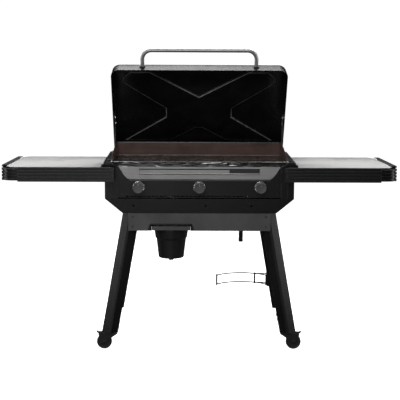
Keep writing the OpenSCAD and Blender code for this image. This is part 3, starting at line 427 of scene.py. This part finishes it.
def piece(name, bm, slot, body, replaced=(), crease=32, bevel=0.0):
    """Turns bm into a piece that rides on body, with sharp edges over the crease angle."""
    bmesh.ops.remove_doubles(bm, verts=bm.verts, dist=1e-6)
    bmesh.ops.recalc_face_normals(bm, faces=bm.faces)
    mesh = bpy.data.meshes.new(name)
    bm.to_mesh(mesh)
    bm.free()
    mesh.shade_smooth()
    mesh.set_sharp_from_angle(angle=math.radians(crease))
    mesh.materials.append(finishes[slot])
    obj = bpy.data.objects.new(name, mesh)
    bpy.context.scene.collection.objects.link(obj)
    if bevel:
        mod = obj.modifiers.new("edges", "BEVEL")
        mod.width, mod.segments, mod.limit_method = bevel, 2, "ANGLE"
        mod.angle_limit = math.radians(crease)
        mod.harden_normals = True
    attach(obj, body)
    if replaced:
        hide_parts(*replaced)


def frame_at(place, axis, up=(0, 0, 1)):
    """A matrix at place whose Z runs along axis and whose X is as near to up as it can be."""
    z = Vector(axis).normalized()
    x = (Vector(up) - z * z.dot(Vector(up))).normalized()
    m = Matrix((x, z.cross(x), z)).transposed().to_4x4()
    m.translation = Vector(place)
    return m


def lathe(bm, profile, matrix, steps=64, shape=None, closed=True):
    """Turns (radius, height) pairs round the matrix's Z.

    shape(angle, radius, height) may change a radius.
    """
    rings = []
    for r, h in profile:
        if r < 1e-7:
            rings.append([bm.verts.new(matrix @ Vector((0, 0, h)))])
            continue
        ring = []
        for i in range(steps):
            a = 2 * math.pi * i / steps
            rr = shape(a, r, h) if shape else r
            ring.append(bm.verts.new(matrix @ Vector((rr * math.cos(a), rr * math.sin(a), h))))
        rings.append(ring)
    pairs = list(zip(rings, rings[1:]))
    if closed:
        pairs.append((rings[-1], rings[0]))
    for a, b in pairs:
        if len(a) == 1 and len(b) == 1:
            continue
        for i in range(steps):
            j = (i + 1) % steps
            corners = [a[i % len(a)], a[j % len(a)], b[j % len(b)], b[i % len(b)]]
            unique = list(dict.fromkeys(corners))
            if len(unique) > 2:
                bm.faces.new(unique)


def skin(bm, a, b):
    """Faces between two closed rows with the same number of vertices."""
    for i in range(len(a)):
        j = (i + 1) % len(a)
        bm.faces.new((a[i], a[j], b[j], b[i]))


def slab(bm, low, high, matrix=None):
    """A box between two corners."""
    m = matrix or Matrix.Identity(4)
    v = [bm.verts.new(m @ Vector((x, y, z))) for x in (low[0], high[0]) for y in (low[1], high[1])
         for z in (low[2], high[2])]
    for f in ((0, 1, 3, 2), (4, 6, 7, 5), (0, 4, 5, 1), (2, 3, 7, 6), (0, 2, 6, 4), (1, 5, 7, 3)):
        bm.faces.new([v[i] for i in f])


def make_knobs():
    """Moulded knobs with eight finger flutes, a dished face and an inlaid pointer."""
    for side in ("left", "center", "right"):
        low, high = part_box("knob_" + side)
        middle = (low + high) / 2
        m = frame_at((middle.x, low.y, middle.z), (0, 1, 0))
        long = high.y - low.y
        r = (high.x - low.x) / 2

        def flute(a, radius, h):
            deep = max(0.0, -math.cos(8 * a)) ** 1.5 * 2.0 * MM
            start = min(1.0, max(0.0, (h - 1.5 * MM) / (3.5 * MM)))
            return radius - deep * start if radius > r - 2.6 * MM else radius

        bm = bmesh.new()
        profile = [(0, 1.1), (10, 1.0), (r / MM - 6.5, 0.7), (r / MM - 5.2, 0.25), (r / MM - 4.4, 0.05),
                   (r / MM - 3.0, 0.1), (r / MM - 1.5, 0.7), (r / MM - 0.5, 1.6), (r / MM - 0.1, 3.0),
                   (r / MM, 5.5), (r / MM, long / MM - 5), (r / MM - 0.4, long / MM - 2.5),
                   (r / MM - 1.6, long / MM - 0.6), (r / MM - 3, long / MM), (8, long / MM),
                   (6.4, long / MM - 0.6), (5.0, long / MM - 2), (0, long / MM - 2)]
        lathe(bm, [(a * MM, b * MM) for a, b in profile], m, 128, flute, closed=False)
        piece("knob_body_" + side, bm, "knob_gray", "dial_" + side, ["knob_" + side], crease=50)
        bm = bmesh.new()
        slab(bm, (8.5 * MM, -0.9 * MM, 0.15 * MM), (r - 6.4 * MM, 0.9 * MM, 1.6 * MM), m)
        piece("knob_pointer_" + side, bm, "stainless", "dial_" + side, bevel=0.3 * MM)


TREAD_HALF = 12.0


def make_wheels():
    """Rubber treads with two grooves, on ribbed plastic hubs."""
    turns = {"front_left": 180, "front_right": 0, "rear_left": 100, "rear_right": 80}
    for spot, heading in turns.items():
        low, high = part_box("wheel_" + spot)
        a = math.radians(heading)
        m = frame_at((low + high) / 2, (-math.sin(a), math.cos(a), 0))
        r = (high.z - low.z) / 2 / MM
        half = TREAD_HALF
        bm = bmesh.new()
        tread = [(r - 8, -half + 2), (r - 6.4, -half + 0.4), (r - 4.5, -half), (r - 2, -half + 0.9),
                 (r - 0.6, -half + 3), (r - 0.2, -5), (r - 0.9, -4.6), (r - 1.0, -3.8), (r - 0.1, -3.4), (r, 0),
                 (r - 0.1, 3.4), (r - 1.0, 3.8), (r - 0.9, 4.6), (r - 0.2, 5), (r - 0.6, half - 3),
                 (r - 2, half - 0.9), (r - 4.5, half), (r - 6.4, half - 0.4), (r - 8, half - 2)]
        lathe(bm, [(x * MM, y * MM) for x, y in tread], m, 96)
        piece("tread_" + spot, bm, "wheel_rubber", "roller_" + spot, ["wheel_" + spot], crease=40)
        bm = bmesh.new()
        hub = [(4.1, -half), (10.4, -half), (11.2, -half + 0.8), (12.4, -half + 4.2), (r - 9.6, -half + 4.2),
               (r - 8.4, -half + 1.2), (r - 7.4, -half + 1.0), (r - 7.4, half - 1.0), (r - 8.4, half - 1.2),
               (r - 9.6, half - 4.2), (12.4, half - 4.2), (11.2, half - 0.8), (10.4, half), (4.1, half)]
        lathe(bm, [(x * MM, y * MM) for x, y in hub], m, 64)
        for i in range(6):
            turn = m @ Matrix.Rotation(math.pi * i / 3, 4, "Z")
            for lo, hi in ((-half + 1.2, -half + 4.6), (half - 4.6, half - 1.2)):
                slab(bm, (11 * MM, -1.3 * MM, lo * MM), ((r - 8.6) * MM, 1.3 * MM, hi * MM), turn)
        piece("hub_" + spot, bm, "module_black", "roller_" + spot, bevel=0.35 * MM)


SIDE_DRAFT, FRONT_DRAFT, REAR_DRAFT = 2, 17, 5
LID = {"half": 433, "reach": 495, "tail": 32, "high": 92, "front_r": 40, "rear_r": 14, "sheet": 1.8}
CROSS = [(0, -275), (245, -426), (346, -426), (386, -386), (386, -360), (170, -200), (170, -147), (391, 8),
         (146, 8), (18, -75)]


def lid_loop(w, t, steps=14):
    """The lid's outline at height w over its rim, drawn smaller by t."""
    half = LID["half"] - w * math.tan(math.radians(SIDE_DRAFT)) - t
    front = -(LID["reach"] - w * math.tan(math.radians(FRONT_DRAFT)) - t)
    rear = LID["tail"] - w * math.tan(math.radians(REAR_DRAFT)) - t
    rf, rr = LID["front_r"] - min(t, 20), LID["rear_r"] - min(t, 9)
    points = []
    for x, y, start, r in ((half - rr, rear - rr, 0, rr), (-half + rr, rear - rr, 90, rr),
                           (-half + rf, front + rf, 180, rf), (half - rf, front + rf, 270, rf)):
        for i in range(steps + 1):
            a = math.radians(start + 90 * i / steps)
            points.append(Vector((x + r * math.cos(a), y + r * math.sin(a))))
    return points


def inset_loop(points, d):
    """A counter-clockwise loop moved inwards by d with mitred corners."""
    moved = []
    for i, p in enumerate(points):
        a = (p - points[i - 1]).normalized()
        b = (points[(i + 1) % len(points)] - p).normalized()
        s = Vector((-a.y, a.x)) + Vector((-b.y, b.x))
        moved.append(p + s * (2 / s.dot(s)) * d)
    return moved


def lid_matrix():
    """From the lid's own frame, closed and in millimetres, to its open place in the row frame."""
    hinge = next(j for j in frame["joints"] if j["name"] == "lid_hinge")
    opened = Matrix.Rotation(math.radians(hinge["range_deg"][0]), 4, "X")
    return Matrix.Translation(Vector(hinge["pos_m"])) @ opened @ Matrix.Scale(MM, 4)


def make_lid():
    """Deep-drawn lid: drafted walls, a soft turn into the top, and the pressed cross with rounded edges."""
    m = lid_matrix()
    bm = bmesh.new()
    turn = 11.0
    levels = [(0, 0), (3, 0), (30, 0), (60, 0)]
    for i in range(9):
        a = math.pi / 2 * i / 8
        levels.append((LID["high"] - turn + turn * math.sin(a), turn * (1 - math.cos(a))))
    loops = []
    for w, t in levels:
        loops.append([bm.verts.new((p.x, p.y, w)) for p in lid_loop(w, t)])
    for a, b in zip(loops, loops[1:]):
        skin(bm, a, b)
    whole = [Vector(p) for p in CROSS] + [Vector((-x, y)) for x, y in reversed(CROSS[1:])]
    steps = [(0.0, 0.0), (1.6, 0.5), (3.2, 2.0), (5.6, 5.2), (7.2, 6.6), (8.6, 7.0)]
    flat = [v.co.xy.copy() for v in loops[-1]]
    heights = [float(LID["high"])] * len(flat)
    edges = [(i, (i + 1) % len(flat)) for i in range(len(flat))]
    for d, deep in steps:
        ring = inset_loop(whole, d - 1.0)
        at = len(flat)
        flat += ring
        heights += [LID["high"] - deep] * len(ring)
        edges += [(at + i, at + (i + 1) % len(ring)) for i in range(len(ring))]
    made = delaunay_2d_cdt(flat, edges, [], 1, 1e-5)
    tops, highlight_verts = [], []
    for i, co in enumerate(made[0]):
        source = made[3][i][0] if made[3][i] else 0
        ring_of = (source - len(loops[-1])) // len(whole)
        on_rim = source < len(loops[-1])
        tops.append(loops[-1][source] if on_rim else bm.verts.new((co.x, co.y, heights[source])))
        if ring_of in (3, 4):
            highlight_verts.append(tops[-1])
    for f in made[2]:
        if bm.faces.get([tops[i] for i in f]) is None:
            bm.faces.new([tops[i] for i in f])
    bmesh.ops.recalc_face_normals(bm, faces=bm.faces)
    top = max(bm.faces, key=lambda f: f.calc_center_median().z)
    if top.normal.z < 0:
        bmesh.ops.reverse_faces(bm, faces=bm.faces)
    bm.transform(m)
    bm.verts.index_update()
    pressed = {v.index for v in highlight_verts}
    mesh = bpy.data.meshes.new("lid_pan")
    bm.to_mesh(mesh)
    bm.free()
    mesh.shade_smooth()
    mesh.set_sharp_from_angle(angle=math.radians(38))
    mesh.materials.append(finishes["lid_enamel"])
    # These vertices, on the slopes of the pressed cross, carry a painted highlight in the enamel.
    layer = mesh.attributes.new("painted_cross_highlight", "FLOAT", "POINT")
    layer.data.foreach_set("value", [v in pressed for v in range(len(mesh.vertices))])
    pan = bpy.data.objects.new("lid_pan", mesh)
    bpy.context.scene.collection.objects.link(pan)
    mod = pan.modifiers.new("sheet", "SOLIDIFY")
    mod.thickness, mod.offset, mod.use_even_offset = LID["sheet"] * MM, -1, True
    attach(pan, "lid")
    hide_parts("lid_shell")
    # The sheet is folded back on itself along the rim.
    bm = bmesh.new()
    t = LID["sheet"]
    section = [(0.2, t), (0.0, t + 0.4), (0.2, t + 1.0), (8.6, t + 1.1), (9.0, t + 0.8), (9.0, t - 0.1),
               (0.2, t - 0.1)]
    rings = [[bm.verts.new((q.x, q.y, w)) for q in lid_loop(w, tt)] for w, tt in section]
    for a, b in zip(rings, rings[1:] + rings[:1]):
        skin(bm, a, b)
    bm.transform(m)
    piece("lid_hem", bm, "lid_enamel", "lid")


def screw_head(bm, place, axis, r=4.6, high=2.3):
    """Button head with a hexagon socket, standing on place along axis."""
    m = frame_at(place, axis, (0.3, 0.2, 1))

    def socket(a, radius, h):
        if radius > r * 0.5 * MM:
            return radius
        return radius / math.cos((a + math.pi / 6) % (math.pi / 3) - math.pi / 6)

    profile = [(0, high * 0.45), (r * 0.36, high * 0.45), (r * 0.38, high * 0.98), (r * 0.62, high),
               (r * 0.84, high * 0.72), (r * 0.97, high * 0.34), (r, 0.05), (r, -0.6)]
    lathe(bm, [(a * MM, b * MM) for a, b in profile], m, 24, socket, closed=False)


def make_fasteners():
    """Screws that hold the panels and aprons."""
    bm = bmesh.new()
    low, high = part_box("front_apron")
    for x in (low.x + 0.022, high.x - 0.022):
        for z in (low.z + 0.02, high.z - 0.018):
            screw_head(bm, (x, low.y, z), (0, -1, 0))
    low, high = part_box("rear_apron")
    for x in (low.x + 0.022, 0, high.x - 0.022):
        for z in (low.z + 0.02, high.z - 0.018):
            screw_head(bm, (x, high.y, z), (0, 1, 0))
    low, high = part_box("control_panel")
    for x in (low.x + 0.016, high.x - 0.016):
        for z in (low.z + 0.016, low.z + 0.062):
            screw_head(bm, (x, low.y, z), (0, -1, 0), 3.4, 1.7)
    low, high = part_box("rear_panel")
    for i in range(-3, 4):
        screw_head(bm, (i * 0.135, high.y, low.z + 0.014), (0, 1, 0), 3.8, 1.9)
    for side, s in SIDES:
        low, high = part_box("side_panel_" + side)
        wall = s * 0.445
        for y in (low.y + 0.06, low.y + 0.30, high.y - 0.06):
            screw_head(bm, (wall, y, low.z + 0.02), (s, 0, 0), 4.2, 2.1)
    piece("panel_screws", bm, "caster_black", "base")


def make_plate_lip():
    """Rounded strip in lighter bare steel along the top of the plate's front and side walls."""
    low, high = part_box("griddle_plate")
    y = low.y + 0.002
    z = high.z - 0.0002
    x = high.x - 0.002
    section = [(-2.0, -0.6), (-1.9, 0.2), (-1.2, 0.8), (0.0, 1.1), (1.2, 0.8), (1.9, 0.2), (2.0, -0.6)]
    corners = [((-x, high.y - 0.02), (1, 0)), ((-x, y), (1, 1)), ((x, y), (-1, 1)),
               ((x, high.y - 0.02), (-1, 0))]
    bm = bmesh.new()
    rings = []
    for (px, py), (nx, ny) in corners:
        rings.append([bm.verts.new((px + nx * d * MM, py + ny * d * MM, z + h * MM)) for d, h in section])
    for a, b in zip(rings, rings[1:]):
        skin(bm, a, b)
    for ring in (rings[0], rings[-1]):
        bm.faces.new(ring)
    piece("plate_lip", bm, "satin_steel", "griddle")


def make_notch_frame():
    """Dark folded frame around the opening of the apron, just clear of the sliding keg carrier."""
    apron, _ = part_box("front_apron")
    low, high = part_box("keg_collar")
    x = (low.x + high.x) / 2
    half = (high.x - low.x) / 2 + 0.0008
    y = apron.y + 0.0024
    top = high.z + 0.0052
    bottom = low.z - 0.001
    bm = bmesh.new()
    for s in (-1, 1):
        edge = sorted((x + s * half, x + s * (half + 0.017)))
        slab(bm, (edge[0], y, bottom), (edge[1], y + 0.0016, top + 0.012))
        lip = sorted((x + s * half, x + s * (half + 0.0016)))
        slab(bm, (lip[0], y, bottom), (lip[1], y + 0.018, top))
    slab(bm, (x - half - 0.017, y, top), (x + half + 0.017, y + 0.0016, top + 0.012))
    slab(bm, (x - half - 0.001, y, top), (x + half + 0.001, y + 0.014, top + 0.0016))
    piece("notch_frame", bm, "black_paint", "base", bevel=0.4 * MM)


def make_rear_highlight():
    """Lighter bare-steel strip along the rounded top of the plate's back wall, as a painted highlight on that
    edge.
    """
    low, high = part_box("griddle_plate")
    y, z, x = high.y - 0.002, 0.8706, high.x - 0.006
    bm = bmesh.new()
    section = [(-2.4, -1.0), (-2.2, 0.2), (-1.2, 1.0), (0.4, 1.2), (1.6, 0.8), (1.8, -1.0)]
    ends = [[bm.verts.new((sx * x, y + a * MM, z + b * MM)) for a, b in section] for sx in (-1, 1)]
    skin(bm, ends[0], ends[1])
    for e in ends:
        bm.faces.new(e)
    piece("plate_rear_highlight", bm, "satin_steel", "griddle")


def make_panel_trim():
    """Folded edges on the front pillars, and a strip in lighter paint along the top fold of the control panel as a
    painted highlight.
    """
    bm = bmesh.new()
    low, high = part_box("control_panel")
    for side, s in SIDES:
        pillar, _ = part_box("side_panel_" + side)
        inner = s * (high.x + 0.0012)
        for x0, wide, stand in ((inner, 0.004, 0.0022), (inner + s * 0.030, 0.0026, 0.0014)):
            edge = sorted((x0, x0 + s * wide))
            slab(bm, (edge[0], pillar.y - stand, pillar.z + 0.004),
                 (edge[1], pillar.y + 0.0005, high.z - 0.075))
    piece("panel_trim", bm, "rail_paint", "base", bevel=0.5 * MM)
    # A strip in lighter charcoal paint along the panel's top fold: a painted highlight.
    bm = bmesh.new()
    slab(bm, (low.x + 0.05, low.y - 0.0018, high.z - 0.0640),
         (high.x - 0.05, low.y + 0.0005, high.z - 0.0608))
    piece("panel_fold_highlight", bm, "apron_paint", "base", bevel=0.5 * MM)


def make_recess():
    """Painted shadow along the top of the fascia's recess, a dark strip where its top edge casts shade, and a bare
    steel bead below it.
    """
    low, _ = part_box("front_fascia")
    plate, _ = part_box("name_plate")
    half, back, top = 0.284, low.y + 0.008, 0.862
    # A dark strip standing in for the shade under the recess's top edge: a painted shadow.
    bm = bmesh.new()
    slab(bm, (-half + 0.001, back - 0.0012, top - 0.0052),
         (half - 0.001, back + 0.0004, top - 0.0004))
    piece("recess_painted_shadow", bm, "black_paint", "base", bevel=0.3 * MM)
    bm = bmesh.new()
    m = frame_at((-half + 0.001, back - 0.002, top - 0.024), (1, 0, 0))
    long = (plate.x - 0.004 + half) / MM
    profile = [(0, 0), (2.6, 0), (3.2, 0.8), (3.2, long - 0.8), (2.6, long), (0, long)]
    lathe(bm, [(a * MM, b * MM) for a, b in profile], m, 24, closed=False)
    piece("recess_bead", bm, "stainless", "base")


make_knobs()
make_wheels()
make_lid()
make_fasteners()
make_plate_lip()
make_notch_frame()
make_rear_highlight()
make_panel_trim()
make_recess()
